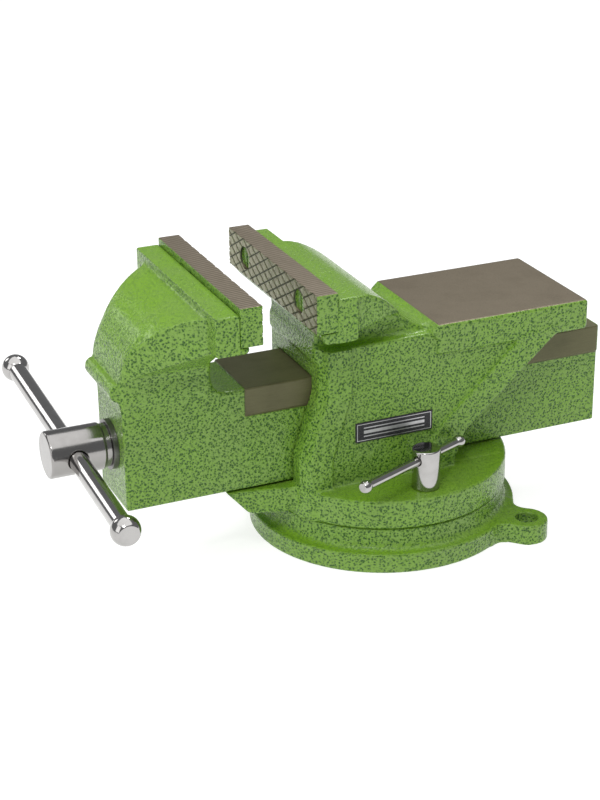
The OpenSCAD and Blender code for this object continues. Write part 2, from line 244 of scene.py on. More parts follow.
def rod(axis: Axis, at: tuple[float, float], radius: float, low: float, high: float,
        edge: float = 0.5) -> Solid:
    """A round bar along an axis, with rounded ends.

    Args:
        axis: Direction of the bar.
        at: Its place in the other two coordinates, in alphabetical order.
        radius: Its radius.
        low: Where it starts.
        high: Where it ends.
        edge: Radius of the edges at its ends.

    Returns:
        The solid.
    """
    return drawn(axis, lambda u, v: np.hypot(u - at[0], v - at[1]) - radius + edge, low, high, edge)


def brick(low: tuple[float, float, float], high: tuple[float, float, float],
          edge: float = 0.5) -> Solid:
    """A box between two corners, with rounded edges."""
    return prism(Axis.Y, [(low[0], low[2]), (high[0], low[2]), (high[0], high[2]),
                          (low[0], high[2])], low[1], high[1], edge)


def disc(outline: Outline, edge: float) -> Solid:
    """An outline in radius and height, spun about Z.

    Args:
        outline: Corners as radius and height; the ones on the axis have a negative radius.
        edge: Radius of the outer edges.

    Returns:
        The solid.
    """
    corners = inset(outline, edge)
    return Solid(lambda x, y, z: outline_distance(corners, np.hypot(x, y), z) - edge)


def arc(centre: tuple[float, float], radius: float, start: float, end: float,
        steps: int = 10) -> list[tuple[float, float]]:
    """Points of an arc.

    Args:
        centre: Its centre.
        radius: Its radius.
        start: First angle in degrees.
        end: Last angle in degrees.
        steps: Number of pieces.

    Returns:
        The points in order.
    """
    turns = np.radians(np.linspace(start, end, steps + 1))
    return [(centre[0] + radius * math.cos(t), centre[1] + radius * math.sin(t)) for t in turns]


def mirrored(points: Outline) -> list[tuple[float, float]]:
    """A symmetric outline from the points of its half with a positive second value."""
    return list(points) + [(a, -b) for a, b in reversed(points)]


def doubled(points: Outline) -> list[tuple[float, float]]:
    """A symmetric outline from the points of its half with a positive first value."""
    return list(points) + [(-a, b) for a, b in reversed(points)]


# ---------------------------------------------------------------- meshes


@dataclass(frozen=True)
class Skinner:
    """Turns a solid's distance field into an even mesh of quads with true normals."""

    pitch: float
    rounds: int = 3
    probe: float = 0.04

    def slope(self, solid: Solid, p: np.ndarray) -> np.ndarray:
        """The field's slope at each point.

        Args:
            solid: The solid.
            p: Points, one row each.

        Returns:
            One vector for each point.
        """
        total = np.zeros_like(p)
        for way in ((1, 1, 1), (1, -1, -1), (-1, 1, -1), (-1, -1, 1)):
            q = p + self.probe * np.array(way)
            total += solid.distance(q[:, 0], q[:, 1], q[:, 2])[:, None] * np.array(way)
        return total / (4 * self.probe)

    def skin(self, solid: Solid, low: Sequence[float], high: Sequence[float]
             ) -> tuple[np.ndarray, np.ndarray, np.ndarray]:
        """Meshes a solid inside a box.

        Args:
            solid: The solid.
            low: Lowest corner of the box, in millimetres.
            high: Highest corner.

        Returns:
            Vertices, quads and the normal at each vertex.
        """
        start = np.array(low, float) - 1.37 * self.pitch
        count = np.ceil((np.array(high) - start) / self.pitch).astype(int) + 2
        x, y, z = (start[k] + self.pitch * np.arange(count[k]) for k in range(3))
        value = np.broadcast_to(solid.distance(x[:, None, None], y[None, :, None],
                                               z[None, None, :]), tuple(count)).astype(np.float32)
        inside = value < 0
        corners = [(i, j, k) for i in (0, 1) for j in (0, 1) for k in (0, 1)]
        full = sum(inside[i:count[0] - 1 + i, j:count[1] - 1 + j, k:count[2] - 1 + k]
                   .astype(np.int8) for i, j, k in corners)
        cells = np.argwhere((full > 0) & (full < 8))
        index = np.full(full.shape, -1, np.int32)
        index[tuple(cells.T)] = np.arange(len(cells))
        spot, hits = np.zeros((len(cells), 3)), np.zeros(len(cells))
        for a in corners:
            for axis in range(3):
                if a[axis]:
                    continue
                b = tuple(1 if n == axis else v for n, v in enumerate(a))
                fa, fb = (value[tuple((cells + np.array(c)).T)] for c in (a, b))
                cross = (fa < 0) != (fb < 0)
                share = np.where(cross, fa / np.where(cross, fa - fb, 1), 0)
                step = np.array(a, float)[None, :] + share[:, None] * (np.array(b) - np.array(a))
                spot += step * cross[:, None]
                hits += cross
        p = start + self.pitch * (cells + spot / hits[:, None])
        for _ in range(self.rounds):
            g = self.slope(solid, p)
            d = solid.distance(p[:, 0], p[:, 1], p[:, 2])
            move = d / np.maximum(np.sum(g * g, axis=1), 0.2)
            p = p - np.clip(move, -self.pitch, self.pitch)[:, None] * g
        g = self.slope(solid, p)
        normals = g / np.maximum(np.linalg.norm(g, axis=1, keepdims=True), 1e-6)
        return p, self._quads(inside, index), normals

    @staticmethod
    def _quads(inside: np.ndarray, index: np.ndarray) -> np.ndarray:
        """Joins the cells' vertices round each grid edge that passes through the surface.

        Args:
            inside: Which grid points lie inside.
            index: Vertex number of each cell.

        Returns:
            Vertex numbers, four to a row.
        """
        quads = []
        for axis in range(3):
            order = (axis, (axis + 1) % 3, (axis + 2) % 3)
            s, c = inside.transpose(order), index.transpose(order)
            i, j, k = np.nonzero(s[:-1, 1:-1, 1:-1] != s[1:, 1:-1, 1:-1])
            j, k = j + 1, k + 1
            ring = np.stack([c[i, j - 1, k - 1], c[i, j, k - 1], c[i, j, k], c[i, j - 1, k]], axis=1)
            quads.append(np.where(s[i, j, k][:, None], ring, ring[:, ::-1]))
        return np.concatenate(quads)


def add_mesh(name: str, points: np.ndarray, faces: Sequence[Sequence[int]],
             normals: np.ndarray | None = None) -> bpy.types.Object:
    """Adds a smooth mesh to the scene.

    Args:
        name: The piece's name.
        points: Vertices in millimetres.
        faces: Vertex numbers of each face.
        normals: The normal at each vertex, where it is known.

    Returns:
        The new object.
    """
    mesh = bpy.data.meshes.new(name)
    mesh.from_pydata((points * MM).tolist(), [], faces)
    mesh.polygons.foreach_set("use_smooth", np.ones(len(mesh.polygons), bool))
    if normals is None:
        mesh.set_sharp_from_angle(angle=math.radians(38))
    else:
        mesh.normals_split_custom_set_from_vertices(normals.tolist())
    piece = bpy.data.objects.new(name, mesh)
    bpy.context.scene.collection.objects.link(piece)
    return piece


def cast(name: str, solid: Solid, node: str, pitch: float) -> bpy.types.Object:
    """Meshes a solid within the box of the CAD node that it stands for.

    Args:
        name: The piece's name.
        solid: The solid.
        node: The CAD node.
        pitch: Distance between vertices.

    Returns:
        The new object.
    """
    low, high = (np.array(c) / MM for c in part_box(node))
    coarse = 1
    points, quads, normals = Skinner(pitch * coarse).skin(solid, low, high)
    LOG.info("%s: %d quads", name, len(quads))
    return add_mesh(name, points, quads.tolist(), normals)


def eased(points: Outline, radius: float, steps: int = 5) -> list[tuple[float, float]]:
    """Rounds the inner corners of an open profile.

    Args:
        points: The profile.
        radius: How far before a corner the curve starts.
        steps: Pieces of each curve.

    Returns:
        The rounded profile.
    """
    p = [np.array(q, float) for q in points]
    made = [p[0]]
    for before, corner, after in zip(p, p[1:], p[2:]):
        a, b = before - corner, after - corner
        reach = min(radius, 0.45 * np.linalg.norm(a), 0.45 * np.linalg.norm(b))
        first = corner + a / np.linalg.norm(a) * reach
        last = corner + b / np.linalg.norm(b) * reach
        for t in np.linspace(0, 1, steps + 1):
            made.append((1 - t) ** 2 * first + 2 * t * (1 - t) * corner + t * t * last)
    made.append(p[-1])
    return [(float(q[0]), float(q[1])) for q in made]


def lathe(name: str, profile: Outline, place: Matrix, segments: int = 72) -> bpy.types.Object:
    """Spins a profile about its own axis.

    Args:
        name: The piece's name.
        profile: Distance along the axis and radius, from one pole to the other.
        place: Takes the axis, which is +Z, to its place, in millimetres.
        segments: Pieces round the axis.

    Returns:
        The new object.
    """
    turns = np.linspace(0, 2 * math.pi, segments, endpoint=False)
    rows = [(s, r) for s, r in profile if r > 1e-6]
    points = [(r * math.cos(t), r * math.sin(t), s) for s, r in rows for t in turns]
    points += [(0, 0, profile[0][0]), (0, 0, profile[-1][0])]
    faces: list[list[int]] = []
    for k in range(segments):
        n = (k + 1) % segments
        faces.append([len(points) - 2, n, k])
        base = (len(rows) - 1) * segments
        faces.append([len(points) - 1, base + k, base + n])
        faces += [[i * segments + k, i * segments + n, (i + 1) * segments + n,
                   (i + 1) * segments + k] for i in range(len(rows) - 1)]
    moved = np.array([place @ Vector(p) for p in points])
    return add_mesh(name, moved, faces)


# ---------------------------------------------------------------- shader tools


class Val:
    """One socket of a shader, which takes part in Python expressions."""

    def __init__(self, bench: "Bench", socket: bpy.types.NodeSocket) -> None:
        """Keeps the socket and the bench that it belongs to."""
        self.bench = bench
        self.socket = socket

    def _math(self, operation: str, first: Any, second: Any) -> "Val":
        """Adds one Math node."""
        return self.bench.node("ShaderNodeMath", {"operation": operation}, {0: first, 1: second})

    def __add__(self, other: Any) -> "Val":
        """self + other."""
        return self._math("ADD", self, other)

    def __radd__(self, other: Any) -> "Val":
        """other + self."""
        return self._math("ADD", other, self)

    def __sub__(self, other: Any) -> "Val":
        """self - other."""
        return self._math("SUBTRACT", self, other)

    def __rsub__(self, other: Any) -> "Val":
        """other - self."""
        return self._math("SUBTRACT", other, self)

    def __mul__(self, other: Any) -> "Val":
        """self * other."""
        return self._math("MULTIPLY", self, other)

    def __rmul__(self, other: Any) -> "Val":
        """other * self."""
        return self._math("MULTIPLY", other, self)

    def __or__(self, other: Any) -> "Val":
        """The larger of the two."""
        return self._math("MAXIMUM", self, other)

    def __abs__(self) -> "Val":
        """Size without the sign."""
        return self.bench.node("ShaderNodeMath", {"operation": "ABSOLUTE"}, {0: self})


@dataclass
class Layer:
    """What a finish gives to the shader: a colour and three numbers, each a value or a socket."""

    color: Any
    rough: Any
    metal: Any
    height: Any
    coat: Any = 0.0


class Bench:
    """Builds the nodes of one material round a Principled shader."""

    def __init__(self, name: str) -> None:
        """Starts an empty material.

        Args:
            name: Name of the material.
        """
        self.material = bpy.data.materials.new(name)
        self.material.use_nodes = True
        self.tree = self.material.node_tree
        self.shader = next(n for n in self.tree.nodes if n.type == "BSDF_PRINCIPLED")

    def node(self, kind: str, settings: dict[str, Any] | None = None,
             values: dict[Any, Any] | None = None, out: str | int = 0) -> Val:
        """Adds any node.

        Args:
            kind: The node's type.
            settings: Its properties; "stops" gives a ramp's positions and colours.
            values: Its sockets by name or number, as values or as other nodes' outputs.
            out: The output that is wanted.

        Returns:
            That output.
        """
        made = self.tree.nodes.new(kind)
        for key, value in (settings or {}).items():
            if key == "stops":
                ramp = made.color_ramp.elements
                while len(ramp) < len(value):
                    ramp.new(0.5)
                for stop, (where, color) in zip(ramp, value):
                    stop.position, stop.color = where, color
            else:
                setattr(made, key, value)
        for key, value in (values or {}).items():
            self.put(made.inputs[key], value)
        return Val(self, made.outputs[out])

    def put(self, socket: bpy.types.NodeSocket, value: Any) -> None:
        """Links a socket, or sets its value.

        Args:
            socket: The socket.
            value: Another node's output, or a plain value.
        """
        if isinstance(value, Val):
            self.tree.links.new(value.socket, socket)
        else:
            socket.default_value = value

    def mix(self, factor: Any, first: Any, second: Any) -> Val:
        """Mixes two colours.

        Args:
            factor: Share of the second.
            first: A colour.
            second: A colour.

        Returns:
            The mixed colour.
        """
        return self.node("ShaderNodeMix", {"data_type": "RGBA"}, {0: factor, 6: first, 7: second}, 2)

    def blend(self, factor: Any, first: Any, second: Any) -> Val:
        """Mixes two numbers."""
        return self.node("ShaderNodeMix", {"data_type": "FLOAT"}, {0: factor, 2: first, 3: second})

    def step(self, value: Val, low: float, high: float) -> Val:
        """Goes smoothly from 0 at low to 1 at high."""
        return self.node("ShaderNodeMapRange", {"interpolation_type": "SMOOTHSTEP"},
                         {"Value": value, "From Min": low, "From Max": high})

    def place(self) -> tuple[Val, Val, Val]:
        """Gives the point's place.

        Returns:
            Its three coordinates in millimetres.
        """
        at = self.node("ShaderNodeTexCoord", out="Object")
        at = self.node("ShaderNodeVectorMath", {"operation": "SCALE"}, {0: at, "Scale": 1 / MM})
        split = self.node("ShaderNodeSeparateXYZ", None, {0: at}).socket.node
        return tuple(Val(self, s) for s in split.outputs)

    def facing(self) -> tuple[Val, Val, Val]:
        """Gives the surface's direction.

        Returns:
            Its three components.
        """
        at = self.node("ShaderNodeTexCoord", out="Normal")
        split = self.node("ShaderNodeSeparateXYZ", None, {0: at}).socket.node
        return tuple(Val(self, s) for s in split.outputs)

    def grain(self, size: float, detail: float = 2, stretch: tuple[float, float, float] = (1, 1, 1),
              rough: float = 0.5) -> Val:
        """Noise of a size in millimetres.

        Args:
            size: Width of one blotch.
            detail: Number of finer layers.
            stretch: How many times longer the blotches are along each axis.
            rough: Strength of the finer layers.

        Returns:
            The noise, about 0 to 1.
        """
        scale = tuple(1 / (MM * size * s) for s in stretch)
        at = self.node("ShaderNodeVectorMath", {"operation": "MULTIPLY"},
                       {0: self.node("ShaderNodeTexCoord", out="Object"), 1: scale})
        return self.node("ShaderNodeTexNoise", None,
                         {"Vector": at, "Scale": 1.0, "Detail": detail, "Roughness": rough})

    def pits(self, size: float, smooth: float = 0.6) -> Val:
        """Rounded cells round scattered points.

        Args:
            size: Width of one cell in millimetres.
            smooth: How far neighbouring cells run into each other.

        Returns:
            The distance to the cell's middle, in cells.
        """
        at = self.node("ShaderNodeTexCoord", out="Object")
        return self.node("ShaderNodeTexVoronoi", {"feature": "SMOOTH_F1"},
                         {"Vector": at, "Scale": 1 / (MM * size), "Smoothness": smooth})

    def within(self, low: Sequence[float | None], high: Sequence[float | None],
               soft: float = 0.4) -> Val | float:
        """A mask of a box.

        Args:
            low: Lowest corner in millimetres; None leaves that side open.
            high: Highest corner.
            soft: Width of its soft border.

        Returns:
            1 inside and 0 outside.
        """
        mask: Val | float = 1.0
        for at, a, b in zip(self.place(), low, high):
            if a is not None:
                mask = mask * self.step(at, a - soft, a + soft)
            if b is not None:
                mask = mask * (1 - self.step(at, b - soft, b + soft))
        return mask

    def over(self, mask: Any, under: Layer, top: Layer) -> Layer:
        """Puts one layer on another where the mask is 1.

        Args:
            mask: Where the upper layer shows.
            under: The lower layer.
            top: The upper layer.

        Returns:
            The two together.
        """
        return Layer(self.mix(mask, under.color, top.color), self.blend(mask, under.rough, top.rough),
                     self.blend(mask, under.metal, top.metal),
                     self.blend(mask, under.height, top.height),
                     self.blend(mask, under.coat, top.coat))

    def finish(self, layer: Layer, strength: float = 1.0) -> bpy.types.Material:
        """Feeds a layer to the shader.

        Args:
            layer: Colour, roughness, metal, height in millimetres and clear coat.
            strength: Strength of the relief.

        Returns:
            The finished material.
        """
        sockets = self.shader.inputs
        self.put(sockets["Base Color"], layer.color)
        self.put(sockets["Roughness"], layer.rough)
        self.put(sockets["Metallic"], layer.metal)
        self.put(sockets["Coat Weight"], layer.coat)
        sockets["Coat Roughness"].default_value = 0.12
        sockets["Specular IOR Level"].default_value = 0.38
        relief = self.node("ShaderNodeBump", None,
                           {"Strength": strength, "Distance": MM, "Height": layer.height})
        self.put(sockets["Normal"], relief)
        return self.material


def rgb(red: float, green: float, blue: float) -> tuple[float, float, float, float]:
    """A colour with full cover."""
    return red, green, blue, 1.0


# ---------------------------------------------------------------- finishes


@dataclass(frozen=True)
class HammerPaint:
    """Green hammer paint: a glossy skin with small dark pits, calmer where it lies level."""

    light: tuple[float, float, float, float] = rgb(0.19, 0.36, 0.044)
    level: tuple[float, float, float, float] = rgb(0.185, 0.365, 0.026)
    faded: tuple[float, float, float, float] = rgb(0.2, 0.31, 0.085)
    dark: tuple[float, float, float, float] = rgb(0.02, 0.092, 0.001)
    pit_size: float = 1.6
    depth: float = 0.42

    def layer(self, bench: Bench) -> Layer:
        """Lays the paint out.

        Args:
            bench: The material that it goes in.

        Returns:
            The paint's layer.
        """
        up = bench.step(bench.facing()[2], 0.35, 0.95)
        swell = bench.grain(self.pit_size * 1.3, 2, rough=0.5)
        cell = bench.pits(self.pit_size, 0.15) + 1.1 * (swell - 0.5)
        pit = 1 - bench.step(cell, 0.12, 0.64)
        cloud = bench.grain(28, 2)
        shade = pit * (0.98 - 0.6 * up)
        calm = bench.mix(up, self.light, self.level)
        lit = bench.mix(0.3 * bench.step(cloud, 0.35, 0.7), calm, self.faded)
        color = bench.mix(shade, lit, self.dark)
        height = (swell * 1.6 - pit * 0.6) * self.depth * (1 - 0.6 * up)
        rough = 0.2 + 0.12 * pit + 0.08 * cloud
        return Layer(color, rough, 0.0, height, 0.12)


@dataclass(frozen=True)
class BareIron:
    """Cast iron with the fine lines of a cutter, a little oily."""

    light: tuple[float, float, float, float] = rgb(0.23, 0.192, 0.135)
    dark: tuple[float, float, float, float] = rgb(0.1, 0.084, 0.058)
    run: tuple[float, float, float] = (14, 0.6, 0.6)
    metallic: float = 0.75

    def layer(self, bench: Bench) -> Layer:
        """Lays the bare metal out.

        Args:
            bench: The material that it goes in.

        Returns:
            The metal's layer.
        """
        lines = bench.grain(0.9, 3, self.run, 0.65)
        stain = bench.step(bench.grain(22, 3), 0.35, 0.75)
        pores = 1 - bench.step(bench.grain(0.7, 1), 0.25, 0.4)
        color = bench.mix(lines * 0.5 + stain * 0.25, self.light, self.dark)
        color = bench.mix(pores * 0.35, color, rgb(0.05, 0.042, 0.035))
        rough = 0.36 + 0.16 * lines + 0.08 * stain
        return Layer(color, rough, self.metallic, lines * 0.05 - pores * 0.03)


@dataclass(frozen=True)
class Polished:
    """Chromed or turned steel."""

    color: tuple[float, float, float, float] = rgb(0.46, 0.45, 0.44)
    soil: tuple[float, float, float, float] = rgb(0.24, 0.23, 0.22)
    rough: float = 0.08
    lines: float = 0.004
    run: tuple[float, float, float] = (1, 1, 1)

    def layer(self, bench: Bench) -> Layer:
        """Lays the metal out.

        Args:
            bench: The material that it goes in.

        Returns:
            The metal's layer.
        """
        haze = bench.step(bench.grain(9, 3), 0.4, 0.75)
        marks = bench.grain(0.8, 3, self.run, 0.6)
        color = bench.mix(haze * 0.25, self.color, self.soil)
        return Layer(color, self.rough + haze * 0.05 + marks * 0.05, 1.0, marks * self.lines)


@dataclass(frozen=True)
class BareZone:
    """A box of a casting that is machined, and the way that its surface faces there."""

    low: tuple[float | None, float | None, float | None]
    high: tuple[float | None, float | None, float | None]
    up_only: bool = False


@dataclass(frozen=True)
class CastingFinish:
    """Hammer paint with bare zones, as a whole material."""

    name: str
    bare: tuple[BareZone, ...] = ()
    iron: BareIron = BareIron()

    def build(self) -> bpy.types.Material:
        """Makes the material.

        Returns:
            The paint with its bare zones.
        """
        bench = Bench(self.name)
        layer = HammerPaint().layer(bench)
        for zone in self.bare:
            mask = bench.within(zone.low, zone.high)
            if zone.up_only:
                mask = mask * bench.step(bench.facing()[2], 0.8, 0.97)
            layer = bench.over(mask, layer, self.iron.layer(bench))
        return bench.finish(layer)


def metal(name: str, finish: Polished | BareIron | HammerPaint) -> bpy.types.Material:
    """A material of one finish all over."""
    bench = Bench(name)
    return bench.finish(finish.layer(bench))


def dress(piece: bpy.types.Object, material: bpy.types.Material) -> None:
    """Gives a piece its only material."""
    piece.data.materials.clear()
    piece.data.materials.append(material)


def fit(piece: bpy.types.Object, body: str, slot: str, *nodes: str) -> None:
    """Puts a finished piece on its body in place of its CAD nodes.

    Args:
        piece: The piece.
        body: The body that it rides on.
        slot: The record's material slot; not used.
        nodes: The CAD nodes that it stands for.
    """
    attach(piece, body)
    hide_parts(*nodes)
    LOG.info("%s rides on %s for %s", piece.name, body, ", ".join(nodes))


# ---------------------------------------------------------------- castings


@dataclass
class SwivelBase:
    """The round base with its two bolt ears."""

    flange_r: float = 93
    flange_t: float = 14.5
    hub_r: float = 85.5
    hub_z: float = 29.5
    ear_r: float = 107
    ear_tip: float = 14.5
    ear_blend: float = 12
    ear_hole: float = 7.5
    ear_angle: float = -45.7
    pitch: float = 1.5

    def shape(self) -> Solid:
        """The casting with its ring slot, recess and bolt holes.

        Returns:
            The solid.
        """
        fillet = 6.5
        hub = disc([(-20, 0), (self.flange_r, 0), (self.flange_r, self.flange_t),
                    *arc((self.hub_r + fillet, self.flange_t + fillet), fillet, 270, 180),
                    (self.hub_r, self.hub_z), (-20, self.hub_z)], 1.6)
        body = hub.joined(rod(Axis.Z, (0, 0), 20, 20, 44, 1), 0.8)
        far, near = self.flange_r + self.ear_blend, self.ear_tip + self.ear_blend
        a = math.acos((far ** 2 + self.ear_r ** 2 - near ** 2) / (2 * far * self.ear_r))
        cx, cy = far * math.cos(a), far * math.sin(a)
        ear = prism(Axis.Z, [(70, -0.86 * cy), (cx, -cy), (self.ear_r, 0), (cx, cy),
                             (70, 0.86 * cy)], -2, self.flange_t, 1.6)
        for side in (-1, 1):
            ear = ear.cut(rod(Axis.Z, (cx, side * cy), self.ear_blend, -5, 40), 1.6)
        ear = ear.joined(rod(Axis.Z, (self.ear_r, 0), self.ear_tip, -4, self.flange_t, 1.6), 0.4)
        for turn in (self.ear_angle, self.ear_angle + 180):
            body = body.joined(ear.turned(turn), 2)
            hole = rod(Axis.Z, (self.ear_r, 0), self.ear_hole, -10, 40)
            body = body.cut(hole.turned(turn), 1.0)
        body = body.met(Solid(lambda x, y, z: -z), 0.6)
        recess = rod(Axis.Z, (0, 0), 76, -10, 7, 2).cut(rod(Axis.Z, (0, 0), 26, -12, 12), 1)
        track = rod(Axis.Z, (0, 0), 79.2, 14, 24).cut(rod(Axis.Z, (0, 0), 60, 10, 28), 0.3)
        gap = rod(Axis.Z, (0, 0), 75.2, 22, 40).cut(rod(Axis.Z, (0, 0), 64, 18, 44), 0.3)
        pocket = brick((-79.2, -9.5, 14), (-60, 9.5, 40))
        for hollow in (recess, track, gap, pocket):
            body = body.cut(hollow)
        return body

    def build(self) -> None:
        """Makes and dresses the base."""
        piece = cast("base_casting", self.shape(), "swivel_base", self.pitch)
        dress(piece, CastingFinish("base_paint").build())
        fit(piece, "base", "green_paint", "swivel_base")


@dataclass
class ViseBody:
    """The swivelling body: disc, channel walls, collar, struts, anvil and fixed jaw."""

    wall: float = 45.8
    frame: float = 48.3
    top: float = 149.5
    anvil_x: tuple[float, float] = (15, 133.5)
    anvil_z: tuple[float, float] = (134, 155)
    channel: float = 28.4
    floor_z: float = 51.5
    channel_top: float = 126
    disc_r: float = 87
    disc_z: tuple[float, float] = (30, 50.5)
    lock_r: float = 69.6
    pitch: float = 1.65

    def collar(self) -> Solid:
        """The front frame, which leans between two upright parts.

        Returns:
            The solid.
        """
        ring = prism(Axis.Z, mirrored([(0, 39), (4.5, self.frame), (21, self.frame)]),
                     self.disc_z[0], self.top, 1.0)

        def leaning(x: np.ndarray, y: np.ndarray, z: np.ndarray) -> np.ndarray:
            """Distance to the frame, moved to its front at each height."""
            front = -79 + 14 * np.clip((z - 72) / 45, 0, 1)
            return ring.distance(x - front, y, z) * 0.96

        return Solid(leaning)

    def jaw(self) -> Solid:
        """The fixed jaw's block, its hump and the neck under them.

        Returns:
            The solid.
        """
        half = 75
        back = rod(Axis.Y, (-58, 133), 59.6, -half, half, 1)
        ramp = prism(Axis.Y, [(-17, 169), (-4, 161.5), (8, 153.6), (22, 148.9), (22, 140),
                              (-17, 140)], -half, half, 0.5)
        wing = prism(Axis.Y, [(-76, 166.5), (-44.7, 166.5), (-23, 169), (24, 168.3), (24, 196),
                              (-76, 196)], -half, half, 0.8)
        shank = prism(Axis.X, doubled([(37, 140), (37, 156), (45, 196)]), -76, 30, 0.8)
        plan = prism(Axis.Z, mirrored([(-66, 73.5), (-56, 73), (-50.5, 66), (-45, 61), (-35, 57.5),
                                       (-27, 55), (-15, 50), (-5, 46), (2, 40), (24, 33)]),
                     140, 190, 1.2)
        hump = back.joined(ramp, 6).met(wing.joined(shank, 7), 1.2).met(plan, 1.4)
        block = prism(Axis.Y, [(-77, 174), (-77, 171), (-74, 166.5), (-52, 166.5), (-52, 196),
                               (-66, 196), (-66, 174)], -75, 75, 1.0)
        return hump.joined(block, 3)

    def anvil(self) -> Solid:
        """The anvil plate with its rounded rear edges.

        Returns:
            The solid.
        """
        (x0, x1), (z0, z1) = self.anvil_x, self.anvil_z
        return prism(Axis.Y, [(x0 + 3.5, z0), (x1, z0), (x1, z1), (x0 + 4.5, z1),
                              (x0 - 2, self.top - 0.5), (x0 + 3.5, self.top - 5)],
                     -self.frame, self.frame, 2.0)

    def shape(self) -> Solid:
        """The whole casting.

        Returns:
            The solid.
        """
        walls = prism(Axis.Y, [(-74, 40), (13, 40), (13, 45.5), (39.6, 74.6), (108.6, 134.6),
                               (128, 134.6), (128, 140), (18, self.top), (-60, self.top),
                               (-60, 117), (-74, 72)], -self.wall, self.wall, 1.5)
        strut = prism(Axis.Y, [(11, 45), (30, 45), (41, 74.6), (112, 136.5), (112, 142),
                               (84, 138), (23.7, 83.2), (16, 72)], -self.frame, self.frame, 1.2)
        plate = disc([(-20, self.disc_z[0]), (self.disc_r, self.disc_z[0]),
                      (self.disc_r, self.disc_z[1]), (-20, self.disc_z[1])], 1.8)
        pad = brick((-86, -44, 40), (86, 44, self.floor_z), 0.4).met(
            rod(Axis.Z, (0, 0), self.disc_r - 1, 30, 70), 1)
        tray = prism(Axis.Y, [(-126, self.floor_z), *arc((-107, 41.8), 8, 215, 270, 5),
                              (-68, 33.8), (-68, self.floor_z)], -40, 40, 0.5)
        tray = tray.met(prism(Axis.Z, mirrored([(-128, 27.4), (-116, 27.4), (-74, 37.5)]),
                              20, 60, 1), 1.2)
        body = walls.joined(self.collar(), 1.2).joined(strut, 1.2).joined(self.anvil(), 1.2)
        body = body.joined(self.jaw(), 6).joined(plate, 3.5).joined(pad, 0.8).joined(tray, 2.5)
        slot = brick((-140, -self.channel, self.floor_z), (140, self.channel, self.channel_top), 0.4)
        body = body.cut(slot, 0.8)
        holes = [rod(Axis.Z, (0, 0), 20.05, 20, 44.5)]
        for side in (-1, 1):
            holes += [rod(Axis.Z, (0, side * self.lock_r), 5.3, 20, 60),
                      rod(Axis.Z, (side * 34, 0), 5.2, 20, 60),
                      rod(Axis.Z, (side * 34, 0), 11, 20, 40),
                      rod(Axis.X, (side * 46, 187.4), 4.05, -90, -53)]
        for hole in holes:
            body = body.cut(hole)
        return body

    def build(self) -> None:
        """Makes and dresses the body."""
        piece = cast("body_casting", self.shape(), "fixed_body", self.pitch)
        face = BareZone((self.anvil_x[0] + 4.2, None, self.anvil_z[1] - 1.2), (None, None, None), True)
        dress(piece, CastingFinish("body_paint", (face,), BareIron(run=(1.2, 1.2, 1))).build())
        fit(piece, "vise", "green_paint", "fixed_body")


@dataclass
class MovingJaw:
    """The moving jaw with its box, gusset and long slide."""

    front: float = -195.5
    rear: float = 155.7
    half: float = 26.75
    band: float = 28
    slide_z: tuple[float, float] = (52.6, 125.6)
    machined_x: float = -112
    seat: float = -132
    pitch: float = 1.7

    def gusset(self) -> Solid:
        """The curved gusset that widens from the box to the jaw.

        Returns:
            The solid.
        """
        half, top = 58.0, 190.5
        back = rod(Axis.Y, (-143.2, 138), 52.3, -half, half, 1)
        back = back.joined(brick((-143.2, -half, 138), (self.seat, half, top), 0.4), 0.5)
        back = back.met(brick((self.front, -half, 130), (self.seat, half, top), 0.4), 0.5)
        over = brick((-250, -80, 100), (-137.4, 80, 250)).joined(
            brick((-200, -80, 170), (-100, 80, 250)), 3)
        plan = prism(Axis.Z, mirrored([(self.front - 1, 28), (-148, half), (self.seat + 1, half)]),
                     120, 200, 1.2)
        rise = prism(Axis.X, doubled([(self.half, 120), (self.half, 143), (30, 147.5), (55, 164.5),
                                      (half, 168), (half, 200)]), -210, -120, 0.8)
        return back.met(over, 2).met(plan, 1.5).met(rise, 1.5)

    def shape(self) -> Solid:
        """The whole casting.

        Returns:
            The solid.
        """
        low, top = self.slide_z
        box = prism(Axis.Y, [(self.front, low), (-111, low), (-111, top - 1),
                             *arc((-123.4, 138.6), 14, 270, 180), (-137.4, 172), (-178, 172),
                             (-188, 160), (-194.5, 146), (self.front, 140)],
                    -self.half, self.half, 1.6)
        block = prism(Axis.Y, [(-148, 170), (-128, 170), (-126, 172), (-126, 174), (-132, 174),
                               (-132, 196), (-148, 196)], -75, 75, 1.1)
        bead = rod(Axis.Y, (self.front - 1, 137), 6.5, -27, 27, 1)
        slide = brick((self.machined_x, -self.half, low), (self.rear, self.half, top), 0.8)
        rails = brick((self.machined_x, -self.band, top - 20), (self.rear, self.band, top), 0.7)
        body = box.joined(self.gusset(), 9).joined(block, 4).joined(bead, 1.5)
        body = body.joined(slide, 0.5).joined(rails, 0.5)
        body = body.cut(brick((-181, -17, 40), (170, 17, 112), 3), 1.2)
        body = body.cut(rod(Axis.X, (0, 91), 12.05, -210, -170), 0.8)
        for side in (-1, 1):
            body = body.cut(rod(Axis.X, (side * 46, 187.4), 4.05, -145, -120))
        return body

    def build(self) -> None:
        """Makes and dresses the jaw."""
        piece = cast("jaw_casting", self.shape(), "moving_jaw", self.pitch)
        rails = BareZone((self.machined_x, None, self.slide_z[1] - 20.4),
                         (self.rear - 0.8, None, self.slide_z[1] + 1))
        oily = BareIron(rgb(0.15, 0.142, 0.065), rgb(0.06, 0.058, 0.024), metallic=0.15)
        dress(piece, CastingFinish("jaw_paint", (rails,), oily).build())
        fit(piece, "jaw", "green_paint", "moving_jaw")


# ---------------------------------------------------------------- jaw plates


